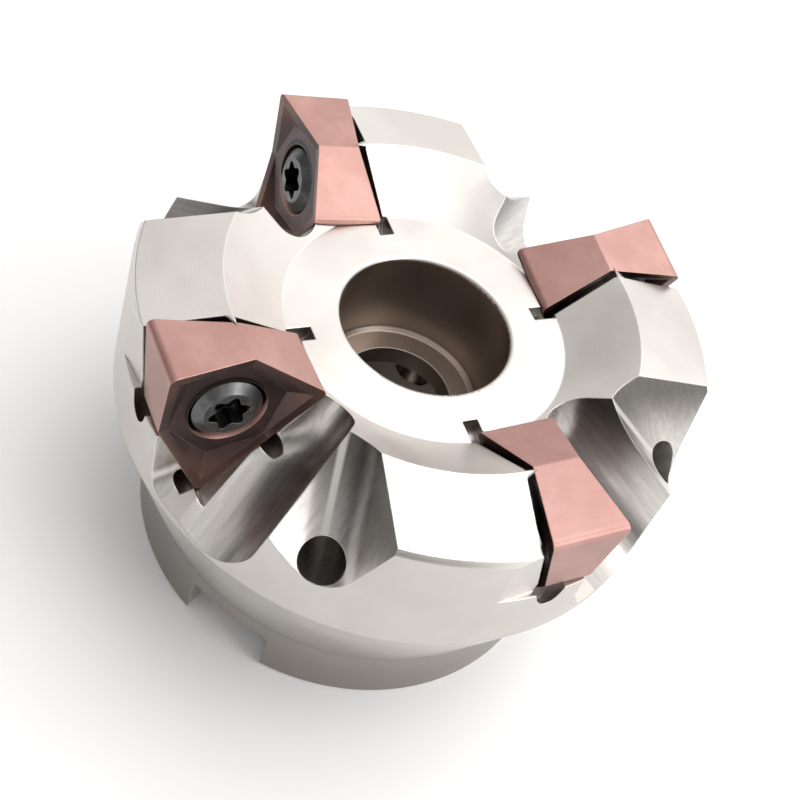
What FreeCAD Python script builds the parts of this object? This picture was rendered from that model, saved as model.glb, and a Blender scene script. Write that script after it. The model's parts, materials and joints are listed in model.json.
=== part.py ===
# Indexable face mill, 63 mm cutting diameter, for a 22 mm shell-mill arbor.
# Frame: +Z points out of the cutting end, the origin is the centre of the flat back face,
# and the two drive-key slots lie along Y. All lengths are in millimetres, all angles in degrees.
import FreeCAD, Part
import math
import os

# ---- cutter body (turned profile) ----
CUTTING_R = 31.5
TOOL_HEIGHT = 40.0
WALL_R = 31.0
WALL_LOW_Z = 22.3
RIM_R, RIM_Z = 30.6, 37.5
RIM_CHAMFER_Z = 36.8
RIDGE_R, RIDGE_Z = 22.3, 39.3
FACE_R, FACE_Z = 15.5, 34.75
HUB_R = 25.4
HUB_TOP_Z = 8.0
HUB_CHAMFER = 0.5
NECK_BLEND_R = 3.0
BORE_R = 11.0
BORE_DEPTH = 20.4
BORE_CHAMFER = 0.8
THROUGH_R = 6.35
SHOULDER_Z = 22.9
COUNTERBORE_R = 9.3
COUNTERBORE_CORNER = 0.45
MOUTH_ROUND = 0.5
KEY_WIDTH = 10.4
KEY_DEPTH = 5.8
KEY_ROUND = 0.8
KEY_EDGE_BREAK = 0.5

# ---- insert (double-sided trigon) ----
TEETH = 4
CORNERS = 3
CORNER_R = 9.74
WAIST_R = 6.97
CORNER_HALF_ANGLE = math.degrees(math.atan2(WAIST_R * math.sin(math.pi / 3), CORNER_R - WAIST_R / 2))
TIP_HEIGHT = 4.16
WAIST_HEIGHT = 2.48
LAND_WIDTH = 0.95
LAND_SLOPE = 8.0
PAD_CORNER_R = 6.0
NOSE_R = 0.8
WAIST_ROUND = 0.6
INSERT_HOLE_R = 2.75
SINK_HALF_ANGLE = 30.0
SINK_R = 4.0

# ---- where the first insert sits ----
SEAT_AZ = -114.75
RADIAL_LEAN = 10.4
AXIAL_LEAN = 6.4
CORNER_TURN = 45.7
FLANK_GAP = 0.03
BACK_GAP = 0.9
PAD_R = 5.0
LIFT_DEPTH = 8.3
RELIEF_TOP = 4.3
INNER_RELIEF_R = 1.4
INNER_RELIEF_TOP = -3.5
LOWER_RELIEF_R = 0.95
WAIST_RELIEF_R = 1.1
UNDERCUT_R = 1.75
UNDERCUT_DEPTH = 2.0
UNDERCUT_START = 4.5
UNDERCUT_LENGTH = 9.5
FLAT_AZ = -118.8
FLAT_DEPTH = 0.78
FLAT_LOW_Z = 30.4

# ---- chip gullet ----
FACE_LEVEL = 2.2
TROUGH_ROUND = 6.0
TROUGH_END_ROUND = 3.0
FACE_BLEND = 2.5
SCOOP_ROUND = 4.5

# ---- clamping screw ----
SCREW_R = 2.5
TAPPED_R = 2.55
TAPPED_END = -11.0
SCREW_TIP = -8.5
HEAD_R = 3.58
HEAD_RIM = 2.15
HEAD_TOP = 2.85
HEAD_FLAT_R = 2.55
HEAD_GAP = 0.05
SOCKET_R = 1.8
SOCKET_LOBE = 0.3
SOCKET_DEPTH = 2.2
TIP_CHAMFER = 0.6

# ---- coolant outlet ----
COOLANT_R = 2.3
COOLANT_EXIT_R, COOLANT_EXIT_AZ, COOLANT_EXIT_Z = 29.6, -74.2, 30.1
COOLANT_AZ, COOLANT_RISE = -71.4, 36.8


def polar(radius, azimuth, z):
    """Point given by its radius and azimuth about the tool axis."""
    a = math.radians(azimuth)
    return FreeCAD.Vector(radius * math.cos(a), radius * math.sin(a), z)


def direction(azimuth, rise):
    """Unit vector pointing along an azimuth and rising above the XY plane."""
    return polar(math.cos(math.radians(rise)), azimuth, math.sin(math.radians(rise)))


def block_behind(point, facing, size=120.0):
    """Big block whose top face lies on the plane through point; it fills the side behind it."""
    block = Part.makeBox(size, size, size, FreeCAD.Vector(-size / 2, -size / 2, -size))
    turn = FreeCAD.Rotation(FreeCAD.Vector(0, 0, 1), facing)
    block.Placement = FreeCAD.Placement(point, turn)
    return block


def around(shape):
    """One copy of a shape for every tooth."""
    copies = []
    for i in range(TEETH):
        copy = shape.copy()
        copy.rotate(FreeCAD.Vector(0, 0, 0), FreeCAD.Vector(0, 0, 1), i * 360.0 / TEETH)
        copies.append(copy)
    return copies


def turned_profile():
    """Half section of the body blank in the XZ plane, walked from the back of the bore outwards."""
    return [
        (BORE_R + BORE_CHAMFER, 0),
        (HUB_R - HUB_CHAMFER, 0),
        (HUB_R, HUB_CHAMFER),
        (HUB_R, HUB_TOP_Z),
        (WALL_R, WALL_LOW_Z),
        (WALL_R, RIM_CHAMFER_Z),
        (RIM_R, RIM_Z),
        (RIDGE_R, RIDGE_Z),
        (FACE_R, FACE_Z),
        (COUNTERBORE_R, FACE_Z),
        (COUNTERBORE_R, SHOULDER_Z + COUNTERBORE_CORNER),
        (COUNTERBORE_R - COUNTERBORE_CORNER, SHOULDER_Z),
        (THROUGH_R, SHOULDER_Z),
        (THROUGH_R, BORE_DEPTH),
        (BORE_R, BORE_DEPTH),
        (BORE_R, BORE_CHAMFER),
    ]


def ring_edges(solid, radius, z):
    """Circular edges of a turned solid at one radius and height."""
    found = []
    for edge in solid.Edges:
        if not isinstance(edge.Curve, Part.Circle):
            continue
        if abs(edge.Curve.Radius - radius) < 1e-4 and abs(edge.Curve.Center.z - z) < 1e-4:
            found.append(edge)
    return found


def turned_blank():
    """Turned body with its stepped bore, blended neck and rounded counterbore mouth."""
    points = [FreeCAD.Vector(r, 0, z) for r, z in turned_profile()]
    face = Part.Face(Part.makePolygon(points + points[:1]))
    blank = face.revolve(FreeCAD.Vector(0, 0, 0), FreeCAD.Vector(0, 0, 1), 360)
    blank = blank.makeFillet(NECK_BLEND_R, ring_edges(blank, HUB_R, HUB_TOP_Z))
    return blank.makeFillet(MOUTH_ROUND, ring_edges(blank, COUNTERBORE_R, FACE_Z))


def key_slot():
    """Slot right across the hub's back face, along Y, for both driving keys of the arbor."""
    slot = Part.makeBox(KEY_WIDTH, 2 * HUB_R + 4, KEY_DEPTH + 2)
    slot.translate(FreeCAD.Vector(-KEY_WIDTH / 2, -HUB_R - 2, -2))
    corners = [e for e in slot.Edges if e.BoundBox.ZMin > KEY_DEPTH - 0.01 and e.BoundBox.YLength > 10]
    slot = slot.makeFillet(KEY_ROUND, corners)
    half = KEY_WIDTH / 2
    lip = [(-half - KEY_EDGE_BREAK - 1, -1), (half + KEY_EDGE_BREAK + 1, -1)]
    lip += [(half, KEY_EDGE_BREAK), (-half, KEY_EDGE_BREAK)]
    points = [FreeCAD.Vector(x, -HUB_R - 2, z) for x, z in lip]
    return slot.fuse(polygon_face(points).extrude(FreeCAD.Vector(0, 2 * HUB_R + 4, 0)))


def seat_placement():
    """Local frame of the first insert: X to its cutting corner, Z out of its cutting face."""
    level = math.cos(math.radians(AXIAL_LEAN))
    normal = polar(level, SEAT_AZ + 90 - RADIAL_LEAN, math.sin(math.radians(AXIAL_LEAN)))
    up = FreeCAD.Vector(0, 0, 1) - normal * normal.z
    up.normalize()
    outward = normal.cross(up)
    turn = math.radians(CORNER_TURN)
    x_axis = up * math.cos(turn) + outward * math.sin(turn)
    rotation = FreeCAD.Rotation(x_axis, normal.cross(x_axis), normal, "ZXY")
    reach = rotation.multVec(nose_centre())
    along = reach.dot(direction(SEAT_AZ, 0))
    across = math.hypot(reach.x, reach.y)
    seat_r = math.sqrt((CUTTING_R - NOSE_R) ** 2 - across ** 2 + along ** 2) - along
    return FreeCAD.Placement(polar(seat_r, SEAT_AZ, TOOL_HEIGHT - NOSE_R * level - reach.z), rotation)


def flat(radius, angle, height=0.0):
    """Point in the insert's own plane."""
    return polar(radius, angle, height)


def outline_points(inset):
    """Six corners of the trigon outline, moved inwards by inset: cutting corner, waist, and so on."""
    waist_half = 180.0 - 180.0 / CORNERS - CORNER_HALF_ANGLE
    corner_r = CORNER_R - inset / math.sin(math.radians(CORNER_HALF_ANGLE))
    waist_r = WAIST_R - inset / math.sin(math.radians(180.0 - waist_half))
    points = []
    for i in range(CORNERS):
        points.append(flat(corner_r, 120.0 * i))
        points.append(flat(waist_r, 120.0 * i + 60.0))
    return points


def rounded_wire(points, radii):
    """Closed wire through straight sides with an arc at every corner."""
    count = len(points)
    arcs = []
    for i in range(count):
        back = (points[i - 1] - points[i]).normalize()
        ahead = (points[(i + 1) % count] - points[i]).normalize()
        half = back.getAngle(ahead) / 2
        setback = radii[i] / math.tan(half)
        middle = (back + ahead).normalize()
        reach = radii[i] / math.sin(half) - radii[i]
        start = points[i] + back * setback
        end = points[i] + ahead * setback
        arcs.append(Part.Arc(start, points[i] + middle * reach, end))
    edges = []
    for i in range(count):
        edges.append(arcs[i].toShape())
        edges.append(Part.makeLine(arcs[i].EndPoint, arcs[(i + 1) % count].StartPoint))
    return Part.Wire(edges)


def outline_prism(inset, low, high, corner_round, waist_round):
    """Upright prism with the rounded trigon outline."""
    wire = rounded_wire(outline_points(inset), [corner_round, waist_round] * CORNERS)
    wire.translate(FreeCAD.Vector(0, 0, low))
    return Part.Face(wire).extrude(FreeCAD.Vector(0, 0, high - low))


def edge_fall():
    """Height the cutting edge loses per millimetre from a raised corner down to a waist."""
    corner, waist = outline_points(0)[:2]
    return (TIP_HEIGHT - WAIST_HEIGHT) / corner.distanceToPoint(waist)


def ring(inset):
    """Outline points carried on the sloping land that follows the cutting edges."""
    down = inset * math.tan(math.radians(LAND_SLOPE))
    corner_run = inset / math.tan(math.radians(CORNER_HALF_ANGLE))
    waist_run = inset / math.tan(math.radians(120.0 - CORNER_HALF_ANGLE))
    points = outline_points(inset)
    for i, point in enumerate(points):
        if i % 2 == 0:
            point.z = TIP_HEIGHT - corner_run * edge_fall() - down
        else:
            point.z = WAIST_HEIGHT + waist_run * edge_fall() - down
    return points


def nose_centre():
    """Centre of the rounded cutting corner, at the height of its foremost point."""
    half = math.sin(math.radians(CORNER_HALF_ANGLE))
    return flat(CORNER_R - NOSE_R / half, 0, ring(NOSE_R * (1 - half))[0].z)


def pad_height():
    """Height of the flat pad round the screw hole above the insert's middle plane."""
    return ring(LAND_WIDTH)[1].z


def top_faces(drop):
    """Faceted cutting face: sloping edge lands, the dips behind the corners and the flat pad."""
    outer = ring(-1.0)
    inner = ring(LAND_WIDTH)
    dips = [flat(PAD_CORNER_R, 120.0 * i, pad_height()) for i in range(CORNERS)]
    loops = []
    count = 2 * CORNERS
    for i in range(count):
        j = (i + 1) % count
        loops.append([outer[i], outer[j], inner[j], inner[i]])
        corner = i if i % 2 == 0 else j
        waist = j if i % 2 == 0 else i
        loops.append([inner[corner], inner[waist], dips[corner // 2]])
    pad = []
    for i in range(CORNERS):
        pad.append(dips[i])
        pad.append(inner[2 * i + 1])
    loops.append(pad)
    shift = FreeCAD.Vector(0, 0, -drop)
    return [[point + shift for point in loop] for loop in loops], [p + shift for p in outer]


def polygon_face(loop):
    """Flat face from its corner points."""
    return Part.Face(Part.makePolygon(loop + loop[:1]))


def faceted_block(low_loops, low_ring, high_loops, high_ring):
    """Closed solid between two faceted surfaces whose rims stand above one another."""
    faces = [polygon_face(loop) for loop in low_loops + high_loops]
    for i in range(len(low_ring)):
        j = (i + 1) % len(low_ring)
        faces.append(polygon_face([low_ring[i], low_ring[j], high_ring[j], high_ring[i]]))
    return Part.Solid(Part.Shell(faces))


def mirrored(points):
    """The same points on the other side of the insert's middle plane."""
    return [FreeCAD.Vector(p.x, p.y, -p.z) for p in points]


def countersink():
    """Screw hole with a conical mouth on both sides."""
    pad = pad_height()
    depth = (SINK_R - INSERT_HOLE_R) / math.tan(math.radians(SINK_HALF_ANGLE))
    hole = Part.makeCylinder(INSERT_HOLE_R, 12, FreeCAD.Vector(0, 0, -6))
    extra = 1.0
    wide = SINK_R + extra * math.tan(math.radians(SINK_HALF_ANGLE))
    cone = Part.makeCone(INSERT_HOLE_R, wide, depth + extra, FreeCAD.Vector(0, 0, pad - depth))
    return hole.fuse([cone, cone.mirror(FreeCAD.Vector(0, 0, 0), FreeCAD.Vector(0, 0, 1))])


def insert():
    """Double-sided trigon insert in its own frame."""
    loops, outer = top_faces(0)
    block = faceted_block([mirrored(loop) for loop in loops], mirrored(outer), loops, outer)
    prism = outline_prism(0, -6, 6, NOSE_R, WAIST_ROUND)
    return prism.common(block).cut(countersink())


def six_lobe_socket():
    """Driver recess: a six-lobed outline sunk into the top of the head."""
    points = []
    for i in range(48):
        angle = 360.0 * i / 48
        radius = SOCKET_R + SOCKET_LOBE * math.cos(math.radians(6 * angle))
        points.append(flat(radius, angle, HEAD_TOP - SOCKET_DEPTH))
    curve = Part.BSplineCurve()
    curve.interpolate(points, PeriodicFlag=True)
    return Part.Face(Part.Wire([curve.toShape()])).extrude(FreeCAD.Vector(0, 0, SOCKET_DEPTH + 1))


def screw():
    """Countersunk insert screw with a low domed head, in the insert's frame."""
    pad = pad_height()
    slope = math.tan(math.radians(SINK_HALF_ANGLE))
    seat_z = pad - (SINK_R - HEAD_R) / slope + HEAD_GAP
    neck_z = pad - (SINK_R - SCREW_R) / slope + HEAD_GAP
    profile = [
        (0, SCREW_TIP),
        (SCREW_R - TIP_CHAMFER, SCREW_TIP),
        (SCREW_R, SCREW_TIP + TIP_CHAMFER),
        (SCREW_R, neck_z),
        (HEAD_R, seat_z),
        (HEAD_R, HEAD_RIM),
        (HEAD_FLAT_R, HEAD_TOP),
        (0, HEAD_TOP),
    ]
    points = [FreeCAD.Vector(r, 0, z) for r, z in profile]
    face = Part.Face(Part.makePolygon(points + points[:1]))
    blank = face.revolve(FreeCAD.Vector(0, 0, 0), FreeCAD.Vector(0, 0, 1), 360)
    return blank.cut(six_lobe_socket())


def pocket():
    """Seat milled for one insert, in the insert's frame, with the tapped hole in its pad."""
    loops, outer = top_faces(-BACK_GAP)
    low_loops = [mirrored(loop) for loop in loops]
    high = [FreeCAD.Vector(p.x, p.y, LIFT_DEPTH) for p in outer]
    well = faceted_block(low_loops, mirrored(outer), [high], high)
    well = outline_prism(-FLANK_GAP, -8, LIFT_DEPTH, 0.3, 0.3).common(well)
    well = well.fuse(seat_reliefs())
    pad = Part.makeCylinder(PAD_R, 10, FreeCAD.Vector(0, 0, -10 - pad_height()))
    tapped = Part.makeCylinder(TAPPED_R, -TAPPED_END, FreeCAD.Vector(0, 0, TAPPED_END))
    point = Part.makeCone(0, TAPPED_R, TAPPED_R * 0.6, FreeCAD.Vector(0, 0, TAPPED_END - TAPPED_R * 0.6))
    return well.cut(pad).fuse([tapped, point])


def seat_reliefs():
    """Round reliefs that free the insert's buried corners and its outer lower edge, insert frame."""
    inner = flat(CORNER_R - 0.1, -123, -5.2)
    lower = flat(CORNER_R - 0.4, 112, -5.2)
    waist = flat(WAIST_R, 180, -3.4)
    facing = 120.0 - CORNER_HALF_ANGLE
    along = flat(1, facing - 90)
    start = flat(CORNER_R * math.sin(math.radians(CORNER_HALF_ANGLE)), facing, -UNDERCUT_DEPTH)
    start -= along * (CORNER_R * math.cos(math.radians(CORNER_HALF_ANGLE)) - UNDERCUT_START)
    return [
        Part.makeCylinder(INNER_RELIEF_R, INNER_RELIEF_TOP - inner.z, inner),
        Part.makeCylinder(LOWER_RELIEF_R, RELIEF_TOP - lower.z, lower),
        Part.makeCylinder(WAIST_RELIEF_R, RELIEF_TOP - waist.z, waist),
        Part.makeCylinder(UNDERCUT_R, UNDERCUT_LENGTH, start, along),
    ]


def outer_flat():
    """Flat milled on the wall that leaves the insert's outer flank standing proud of the body."""
    depth = WALL_R - FLAT_DEPTH
    strip = Part.makeBox(5, 20, 12, FreeCAD.Vector(depth, -10, FLAT_LOW_Z))
    strip.rotate(FreeCAD.Vector(0, 0, 0), FreeCAD.Vector(0, 0, 1), FLAT_AZ)
    return strip


def shared_edges(solid, first, second):
    """Edges of a solid that lie in two planes, each given as a point and the way it faces."""
    found = []
    for edge in solid.Edges:
        ends = [vertex.Point for vertex in edge.Vertexes]
        gaps = [abs((end - point).dot(facing)) for end in ends for point, facing in (first, second)]
        if max(gaps) < 1e-4:
            found.append(edge)
    return found


def in_front_of(planes, block):
    """What is left of a block on the open side of every plane."""
    for point, facing in planes:
        block = block.cut(block_behind(point, facing))
    return block


def milled_region():
    """Block round the first tooth that every gullet cut is taken from."""
    return Part.makeBox(60, 60, 60, FreeCAD.Vector(-30, -50, 10))


def chip_trough(seat):
    """Gullet in front of the cutting face: a round-bottomed channel and the shelf left of it."""
    far = (polar(19.7, -81.4, 37.6), direction(186.2, 10.1))
    inner = (polar(15.7, -92.5, 34.75), direction(-56.1, 9.1))
    floor = (polar(31.0, -94.8, 22.3), direction(-69.2, 64.0))
    shelf = (polar(31.0, -105.0, 23.2), direction(-105.0, 64.4))
    front = (seat.multVec(FreeCAD.Vector(0, 0, FACE_LEVEL)), seat.Rotation.multVec(FreeCAD.Vector(0, 0, 1)))
    left_of_channel = (FreeCAD.Vector(-7.2, 0, 0), FreeCAD.Vector(1, 0, 0))
    right_of_shelf = (FreeCAD.Vector(-4.0, 0, 0), FreeCAD.Vector(-1, 0, 0))
    channel = in_front_of((far, inner, floor), milled_region())
    channel = channel.makeFillet(TROUGH_ROUND, shared_edges(channel, far, floor))
    channel = channel.makeFillet(TROUGH_END_ROUND, shared_edges(channel, far, inner))
    apron = in_front_of((shelf, front), milled_region())
    apron = apron.makeFillet(FACE_BLEND, shared_edges(apron, front, shelf))
    channel = in_front_of((front, left_of_channel), channel)
    return channel.fuse(in_front_of((inner, right_of_shelf), apron))


def chip_face():
    """Broad open face beyond the trough, sloping up to the coolant outlet's wall."""
    wall = (polar(30.4, -63.7, 37.5), direction(-129.2, 18.8))
    floor = (polar(19.7, -81.4, 37.6), direction(-33.1, 46.1))
    scoop = in_front_of((wall, floor), milled_region())
    return scoop.makeFillet(SCOOP_ROUND, shared_edges(scoop, wall, floor))


def coolant_hole():
    """Drilled passage from the arbor bore up to the broad face of the gullet."""
    along = direction(COOLANT_AZ, COOLANT_RISE)
    exit_point = polar(COOLANT_EXIT_R, COOLANT_EXIT_AZ, COOLANT_EXIT_Z)
    return Part.makeCylinder(COOLANT_R, 36, exit_point - along * 26, along)


def cutter_body(seat):
    """Turned blank with key slot, gullets, insert seats, tapped holes and coolant passages."""
    well = pocket()
    well.Placement = seat.multiply(well.Placement)
    body = turned_blank().cut(key_slot())
    for tool in (well, outer_flat(), chip_trough(seat), chip_face(), coolant_hole()):
        body = body.cut(around(tool))
    return body


def export(name, shape):
    """Write one node's STEP file."""
    shape.exportStep("parts/" + name + ".step")


def main():
    os.makedirs("parts", exist_ok=True)
    seat = seat_placement()
    export("cutter_body", cutter_body(seat))
    for label, shape in (("insert", insert()), ("insert_screw", screw())):
        shape.Placement = seat.multiply(shape.Placement)
        for i, copy in enumerate(around(shape)):
            export(label + "_%d" % (i + 1), copy)


main()
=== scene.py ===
import json
import math
import bpy
from mathutils import Matrix, Vector


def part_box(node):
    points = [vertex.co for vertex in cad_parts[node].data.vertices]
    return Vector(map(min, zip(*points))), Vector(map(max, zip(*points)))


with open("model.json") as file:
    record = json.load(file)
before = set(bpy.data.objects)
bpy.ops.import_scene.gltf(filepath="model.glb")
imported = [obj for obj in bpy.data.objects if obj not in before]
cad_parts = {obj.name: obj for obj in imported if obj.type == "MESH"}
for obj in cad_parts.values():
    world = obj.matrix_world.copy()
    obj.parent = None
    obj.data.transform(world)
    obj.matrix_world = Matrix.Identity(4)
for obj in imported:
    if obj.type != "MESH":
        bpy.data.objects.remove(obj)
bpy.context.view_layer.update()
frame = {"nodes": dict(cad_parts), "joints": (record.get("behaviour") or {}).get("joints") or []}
MM = 0.001
TEETH = 4
NODES = frame["nodes"]
JOINTS = {j["child"]: j for j in frame["joints"]}


# ---------------------------------------------------------------- node helpers
class Tree:
    """Short-hand for building one material's nodes."""

    def __init__(self, name):
        self.material = bpy.data.materials.new(name)
        self.material.use_nodes = True
        self.tree = self.material.node_tree
        self.shader = self.tree.nodes["Principled BSDF"]

    def put(self, socket, value):
        if isinstance(value, bpy.types.NodeSocket):
            self.tree.links.new(value, socket)
        else:
            socket.default_value = value

    def node(self, kind, inputs=(), **settings):
        made = self.tree.nodes.new("ShaderNode" + kind)
        for key, value in settings.items():
            setattr(made, key, value)
        for key, value in dict(inputs).items():
            self.put(made.inputs[key], value)
        return made

    def math(self, operation, a, b=0.0, c=0.0):
        return self.node("Math", {0: a, 1: b, 2: c}, operation=operation).outputs[0]

    def times(self, a, b):
        return self.math("MULTIPLY", a, b)

    def rest_of(self, mask):
        """What a mask leaves over."""
        return self.math("SUBTRACT", 1.0, mask)

    def vector(self, operation, a, b=(0, 0, 0)):
        made = self.node("VectorMath", {0: a, 1: b}, operation=operation)
        return made.outputs["Value" if operation in ("DOT_PRODUCT", "LENGTH") else "Vector"]

    def scaled(self, a, factor):
        return self.node("VectorMath", {0: a, "Scale": factor}, operation="SCALE").outputs["Vector"]

    def noise(self, vector, scale, detail=3.0, rough=0.5):
        made = self.node("TexNoise", {"Vector": vector, "Scale": scale, "Detail": detail, "Roughness": rough})
        return made.outputs["Fac"]

    def remap(self, value, low, high, to_low=0.0, to_high=1.0, kind="SMOOTHSTEP"):
        ends = {0: value, 1: low, 2: high, 3: to_low, 4: to_high}
        return self.node("MapRange", ends, interpolation_type=kind).outputs[0]

    def mix(self, factor, a, b):
        made = self.node("Mix", data_type="RGBA")
        for socket, value in ((0, factor), (6, a), (7, b)):
            self.put(made.inputs[socket], value)
        return made.outputs[2]

    def bump(self, height, strength, distance, normal):
        inputs = {"Height": height, "Strength": strength, "Distance": distance, "Normal": normal}
        return self.node("Bump", inputs).outputs["Normal"]

    def place(self):
        """Position on the part in millimetres."""
        return self.scaled(self.node("TexCoord").outputs["Object"], 1 / MM)

    def normal(self):
        return self.node("NewGeometry").outputs["Normal"]

    def soft_edge(self, radius):
        """Normal rounded off over the edges, and how near an edge is."""
        rounded = self.node("Bevel", {"Radius": radius}, samples=6).outputs[0]
        turn = self.vector("DOT_PRODUCT", rounded, self.normal())
        return rounded, self.remap(turn, 0.995, 0.90)

    def around_screw(self, index, axis):
        """Distance from one insert screw's axis, and height along it from the screw's middle."""
        low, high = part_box("insert_screw_%d" % index)
        centre = tuple((low + high) / 2 / MM)
        offset = self.vector("SUBTRACT", self.place(), centre)
        height = self.vector("DOT_PRODUCT", offset, axis)
        line = self.node("CombineXYZ", dict(enumerate(axis))).outputs[0]
        flat_offset = self.vector("SUBTRACT", offset, self.scaled(line, height))
        return self.vector("LENGTH", flat_offset), height

    def finish(self, tone, rough, normal, metallic):
        """Wires up the shader and hands back the material."""
        for name, value in (("Base Color", tone), ("Roughness", rough), ("Normal", normal)):
            self.put(self.shader.inputs[name], value)
        self.shader.inputs["Metallic"].default_value = metallic
        return self.material


def rgb(r, g, b):
    return (r, g, b, 1.0)


# ---------------------------------------------------------------- cutter body
BORE_WALL_R = 11.1          # where the darker bore colour is complete, mm
FIRST_SECTOR = -130.0       # azimuth at which the first tooth's quarter begins, degrees
SWIRL_CENTRE = (27.0, -6.0, 26.0)
RIDGE_FACING = (0.979, 0.106, -0.175)


def body_masks(t, split, facing, radius):
    """Where the body is milled and not turned, and where its bore is."""
    sideways = t.math("SUBTRACT", t.times(split[0], facing[1]), t.times(split[1], facing[0]))
    sideways = t.math("ABSOLUTE", t.math("DIVIDE", sideways, radius))
    outward = t.math("ADD", t.times(split[0], facing[0]), t.times(split[1], facing[1]))
    on_flat = t.remap(t.math("DIVIDE", outward, radius), 0.94, 0.965)
    milled = t.times(t.remap(sideways, 0.04, 0.12), t.rest_of(on_flat))
    in_bore = t.times(t.remap(radius, BORE_WALL_R + 0.3, BORE_WALL_R), t.remap(split[2], 34.6, 34.0))
    return milled, in_bore


def cutter_marks(t, split, radius):
    """Streaks along each gullet, and those streaks with the faint arcs of the broad face."""
    quarter = 2 * math.pi / TEETH
    start = math.radians(FIRST_SECTOR)
    turn = t.math("SUBTRACT", t.math("ARCTAN2", split[1], split[0]), start)
    local = t.math("ADD", t.math("FLOORED_MODULO", turn, quarter), start)
    across = t.times(radius, t.math("COSINE", local))
    along = t.times(radius, t.math("SINE", local))
    tooth = t.node("CombineXYZ", {0: across, 1: along, 2: split[2]}).outputs[0]
    climb = t.math("SUBTRACT", split[2], t.times(along, 0.46))
    squeezed = {0: t.times(across, 1.5), 1: t.times(along, 0.10), 2: t.times(climb, 0.7)}
    streaks = t.noise(t.node("CombineXYZ", squeezed).outputs[0], 1.6, 4.0, 0.6)
    from_centre = t.vector("LENGTH", t.vector("SUBTRACT", tooth, SWIRL_CENTRE))
    arcs = t.math("SINE", t.math("ADD", t.times(from_centre, 7.4), t.times(streaks, 2.6)))
    beyond_ridge = t.remap(t.vector("DOT_PRODUCT", tooth, RIDGE_FACING), -1.6, -1.1)
    arcs = t.times(t.times(arcs, 0.07), beyond_ridge)
    return streaks, t.math("ADD", t.times(streaks, 0.8), arcs)


def body_material():
    """Nickel-plated steel: turned rings outside, milled gullets, a browner bore; painted shade low on upright
    walls and high in the gullets, edges lightened partly by wear, partly as painted highlight.
    """
    t = Tree("nickel_steel")
    place = t.place()
    split = t.node("SeparateXYZ", {0: place}).outputs
    facing = t.node("SeparateXYZ", {0: t.normal()}).outputs
    radius = t.math("ADD", t.math("POWER", split[0], 2.0), t.math("POWER", split[1], 2.0))
    radius = t.math("SQRT", radius)
    milled, in_bore = body_masks(t, split, facing, radius)
    turned = t.rest_of(milled)
    streaks, milling = cutter_marks(t, split, radius)
    grain = t.noise(place, 5.5, 4.0, 0.7)
    fine = t.noise(place, 14.0, 2.0, 0.6)
    cloud = t.noise(place, 0.09, 3.0, 0.55)
    ring_pitch = 0.19
    rings = t.math("SINE", t.times(t.math("ADD", radius, split[2]), 2 * math.pi / ring_pitch))
    rings = t.times(rings, t.noise(place, 0.35, 2.0))
    rounded, edge = t.soft_edge(0.22 * MM)

    tone = t.mix(t.remap(cloud, 0.3, 0.7), rgb(0.66, 0.62, 0.585), rgb(0.74, 0.71, 0.68))
    # Painted shade: upright surfaces turn darker towards the bottom of the body, standing in for the shadowed
    # floor they face.
    upright = t.remap(t.math("ABSOLUTE", facing[2]), 0.55, 0.25)
    painted_low_shade = t.times(upright, t.remap(split[2], 24.0, 2.0, 0.25, 0.80))
    tone = t.mix(painted_low_shade, tone, rgb(0.20, 0.18, 0.165))
    milled_tone = t.mix(t.remap(streaks, 0.3, 0.7), rgb(0.54, 0.51, 0.485), rgb(0.68, 0.65, 0.62))
    # Painted shade: milled gullet surfaces turn near black towards the cutting face, where shade falls inside
    # the gullets.
    painted_gullet_shade = t.remap(split[2], 30.0, 37.5, 0.0, 0.85)
    milled_tone = t.mix(painted_gullet_shade, milled_tone, rgb(0.075, 0.068, 0.06))
    tone = t.mix(milled, tone, milled_tone)
    tone = t.mix(in_bore, tone, rgb(0.40, 0.34, 0.295))
    # Edges lightened along the bevel mask: partly edge wear, partly painted highlight.
    tone = t.mix(t.times(edge, 0.25), tone, rgb(0.80, 0.78, 0.75))

    rough = t.math("MULTIPLY_ADD", fine, 0.10, t.remap(cloud, 0.3, 0.7, 0.24, 0.30))
    milled_rough = t.math("MULTIPLY_ADD", grain, 0.22, 0.20)
    rough = t.math("ADD", t.times(rough, turned), t.times(milled_rough, milled))
    turned_height = t.math("MULTIPLY_ADD", fine, 0.5, t.times(rings, 0.5))
    milled_height = t.math("MULTIPLY_ADD", grain, 1.1, t.times(milling, 1.7))
    height = t.math("ADD", t.times(turned_height, turned), t.times(milled_height, milled))
    return t.finish(tone, rough, t.bump(height, 0.45, 0.018 * MM, rounded), 1.0)


# ---------------------------------------------------------------- inserts
SINK_MOUTH_R = 4.0          # countersink's radius at the cutting face, mm


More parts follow.
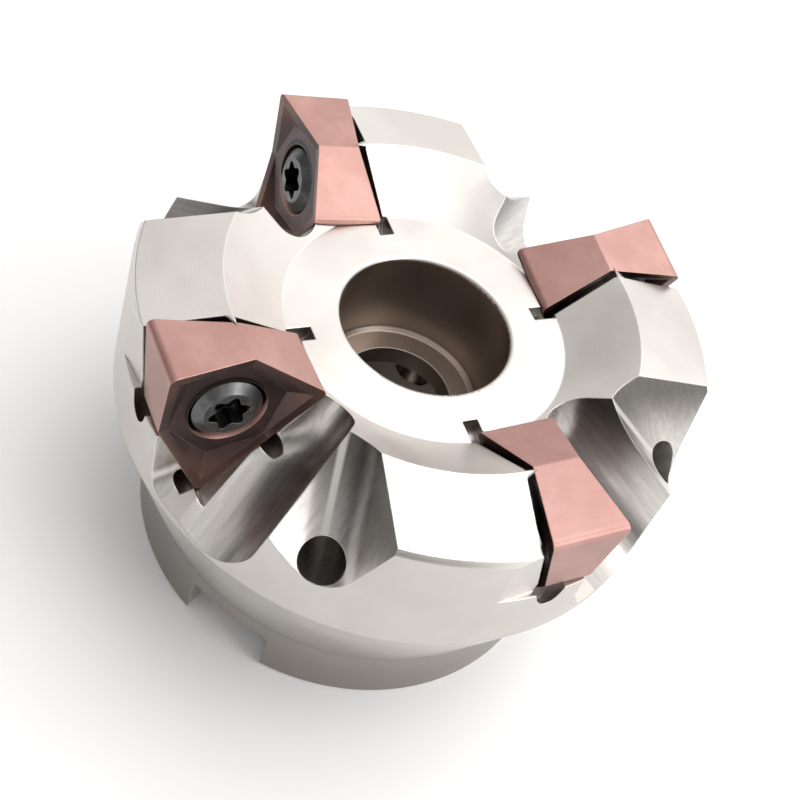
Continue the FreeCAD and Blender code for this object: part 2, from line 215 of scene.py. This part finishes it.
def insert_material(index, axis):
    """Coated carbide: rose-copper ground flanks, darker pressed cutting faces, honed edges lightened partly
    as painted highlight, painted shade on downward faces and in the countersink.
    """
    t = Tree("coated_carbide_%d" % index)
    place = t.place()
    out = t.around_screw(index, axis)[0]
    face = t.remap(t.math("ABSOLUTE", t.vector("DOT_PRODUCT", t.normal(), axis)), 0.45, 0.75)
    painted_sink_shade = t.remap(out, SINK_MOUTH_R + 0.15, SINK_MOUTH_R)
    painted_underside_shade = t.remap(t.node("SeparateXYZ", {0: t.normal()}).outputs[2], 0.05, -0.15)
    cloud = t.noise(place, 0.16, 4.0, 0.6)
    grain = t.noise(place, 9.0, 3.0, 0.6)
    speckle = t.noise(place, 24.0, 2.0, 0.5)
    rounded, edge = t.soft_edge(0.16 * MM)

    flank = t.mix(t.remap(cloud, 0.3, 0.7), rgb(0.44, 0.245, 0.215), rgb(0.53, 0.31, 0.275))
    # Painted shade: downward-facing flanks are darkened, where shade falls beneath the insert.
    flank = t.mix(t.times(painted_underside_shade, 0.75), flank, rgb(0.14, 0.085, 0.07))
    rake = t.mix(t.remap(cloud, 0.35, 0.65), rgb(0.055, 0.036, 0.038), rgb(0.095, 0.060, 0.060))
    rake = t.mix(t.times(t.remap(out, 5.6, 7.6), 0.5), rake, rgb(0.22, 0.115, 0.085))
    # Painted shade: the countersink around the screw is near black, where shade falls in the gap.
    rake = t.mix(painted_sink_shade, rake, rgb(0.012, 0.010, 0.010))
    tone = t.mix(t.math("MAXIMUM", face, painted_sink_shade), flank, rake)
    # Edges lightened to a pale rose: partly honed edge, partly painted highlight.
    tone = t.mix(t.times(edge, 0.7), tone, rgb(0.60, 0.36, 0.27))
    specks = t.times(t.remap(speckle, 0.62, 0.75), 0.18)
    tone = t.mix(specks, tone, rgb(0.30, 0.19, 0.17))

    rough = t.math("MULTIPLY_ADD", grain, 0.16, t.remap(face, 0.0, 1.0, 0.36, 0.28, "LINEAR"))
    height = t.math("MULTIPLY_ADD", speckle, 0.3, t.times(grain, 0.7))
    t.shader.inputs["Coat Weight"].default_value = 0.15
    t.shader.inputs["Coat Roughness"].default_value = 0.18
    return t.finish(tone, rough, t.bump(height, 0.30, 0.010 * MM, rounded), 0.85)


# ---------------------------------------------------------------- screws
RECESS_R = 2.2              # just outside the six-lobe recess, mm


def screw_material(index, axis):
    """Blackened steel with rims lightened partly by wear, partly as painted highlight, and painted shade in
    the driver recess.
    """
    t = Tree("blackened_steel_%d" % index)
    place = t.place()
    out, height_up = t.around_screw(index, axis)
    grain = t.noise(place, 8.0, 4.0, 0.6)
    cloud = t.noise(place, 0.8, 3.0, 0.5)
    lean = t.vector("DOT_PRODUCT", t.normal(), axis)
    in_recess = t.remap(out, RECESS_R, RECESS_R - 0.2)
    painted_recess_wall_shade = t.times(in_recess, t.remap(lean, 0.5, 0.2))
    painted_recess_floor_shade = t.times(in_recess, t.remap(height_up, 4.6, 4.1))
    rounded, edge = t.soft_edge(0.10 * MM)

    tone = t.mix(t.remap(cloud, 0.3, 0.7), rgb(0.11, 0.113, 0.115), rgb(0.19, 0.193, 0.196))
    # Painted shade: the driver recess walls and floor are near black, where shade falls inside it.
    tone = t.mix(t.math("MAXIMUM", painted_recess_wall_shade, painted_recess_floor_shade), tone, rgb(0.012, 0.012, 0.013))
    # Rims lightened to bright steel: partly wear, partly painted highlight.
    tone = t.mix(t.times(edge, 0.45), tone, rgb(0.34, 0.34, 0.335))

    rough = t.math("MULTIPLY_ADD", grain, 0.20, 0.26)
    turning_pitch = 0.16
    rings = t.math("SINE", t.times(out, 2 * math.pi / turning_pitch))
    height = t.math("MULTIPLY_ADD", rings, 0.25, grain)
    return t.finish(tone, rough, t.bump(height, 0.3, 0.010 * MM, rounded), 0.95)


def dress(node, material):
    node.data.materials.clear()
    node.data.materials.append(material)


dress(NODES["cutter_body"], body_material())
for number in range(1, TEETH + 1):
    lift = JOINTS["insert_%d" % number]["axis"]
    length = math.sqrt(sum(c * c for c in lift))
    lift = tuple(c / length for c in lift)
    dress(NODES["insert_%d" % number], insert_material(number, lift))
    dress(NODES["insert_screw_%d" % number], screw_material(number, lift))


# ---------------------------------------------------------------- floor, light, camera
def floor():
    mesh = bpy.data.meshes.new("studio_floor")
    size = 3.0
    corners = [(-size, -size, 0), (size, -size, 0), (size, size, 0), (-size, size, 0)]
    mesh.from_pydata(corners, [], [(0, 1, 2, 3)])
    made = bpy.data.objects.new("studio_floor", mesh)
    bpy.context.scene.collection.objects.link(made)
    t = Tree("studio_floor")
    shade = t.noise(t.place(), 0.01, 2.0)
    t.put(t.shader.inputs["Base Color"], t.mix(shade, rgb(0.93, 0.93, 0.93), rgb(0.95, 0.95, 0.955)))
    t.shader.inputs["Roughness"].default_value = 0.9
    mesh.materials.append(t.material)


def area_light(name, place, target, size, power, color=(1, 1, 1)):
    lamp = bpy.data.lights.new(name, "AREA")
    lamp.shape = "RECTANGLE"
    lamp.size, lamp.size_y = size
    lamp.energy = power
    lamp.color = color
    made = bpy.data.objects.new(name, lamp)
    bpy.context.scene.collection.objects.link(made)
    made.location = place
    made.rotation_euler = (Vector(target) - Vector(place)).to_track_quat("-Z", "Y").to_euler()


def surroundings():
    """Pale dome overhead and behind, dark low down on the near side."""
    world = bpy.data.worlds.new("studio")
    bpy.context.scene.world = world
    world.use_nodes = True
    nodes, links = world.node_tree.nodes, world.node_tree.links
    back = nodes["Background"]
    coord = nodes.new("ShaderNodeTexCoord")
    split = nodes.new("ShaderNodeSeparateXYZ")
    links.new(coord.outputs["Generated"], split.inputs[0])
    ramp = nodes.new("ShaderNodeValToRGB")
    links.new(split.outputs[2], ramp.inputs[0])
    stops = ramp.color_ramp.elements
    stops[0].position, stops[0].color = 0.0, (0.16, 0.155, 0.15, 1)
    stops[1].position, stops[1].color = 1.0, (1.0, 1.0, 1.0, 1)
    for position, value in ((0.20, 0.06), (0.42, 0.70), (0.60, 1.0)):
        stop = stops.new(position)
        stop.color = (value, value * 0.985, value * 0.97, 1)
    behind = nodes.new("ShaderNodeVectorMath")
    behind.operation = "DOT_PRODUCT"
    behind.inputs[1].default_value = (0.50, 0.86, 0.0)
    links.new(coord.outputs["Generated"], behind.inputs[0])
    near_to_far = nodes.new("ShaderNodeMapRange")
    near_to_far.inputs[1].default_value, near_to_far.inputs[2].default_value = -0.15, 0.30
    links.new(behind.outputs["Value"], near_to_far.inputs[0])
    blend = nodes.new("ShaderNodeMix")
    blend.data_type = "RGBA"
    links.new(near_to_far.outputs[0], blend.inputs[0])
    links.new(ramp.outputs[0], blend.inputs[6])
    blend.inputs[7].default_value = (1.75, 1.73, 1.71, 1)
    links.new(blend.outputs[2], back.inputs[0])
    back.inputs[1].default_value = 0.70


def camera():
    """Looks down on the cutting end from the front, rolled as the part lies in the picture."""
    distance, elevation, roll = 0.148989, math.radians(48.391), math.radians(24.481)
    aim = Vector((0.00081, 0.0, 0.02192))
    spot = aim + distance * Vector((0, -math.cos(elevation), math.sin(elevation)))
    look = (aim - spot).normalized()
    right = look.cross(Vector((0, 0, 1))).normalized()
    up = right.cross(look)
    tilted_right = math.cos(roll) * right + math.sin(roll) * up
    tilted_up = math.cos(roll) * up - math.sin(roll) * right
    turn = Matrix.Rotation(math.radians(15.0), 4, "Z")
    pose = Matrix((tilted_right, tilted_up, -look)).transposed().to_4x4()
    pose.translation = spot
    data = bpy.data.cameras.new("camera")
    data.sensor_width = 36.0
    data.lens = 59.7
    data.clip_start = 0.005
    made = bpy.data.objects.new("camera", data)
    bpy.context.scene.collection.objects.link(made)
    made.matrix_world = turn @ pose
    bpy.context.scene.camera = made


floor()
surroundings()
area_light("key", (0.10, 0.16, 0.55), (0, 0, 0.02), (0.50, 0.50), 1.3)
area_light("side", (0.50, -0.02, 0.30), (0, 0, 0.02), (0.25, 0.35), 0.8, (1.0, 0.985, 0.97))
camera()
bpy.context.scene.view_settings.view_transform = "Standard"
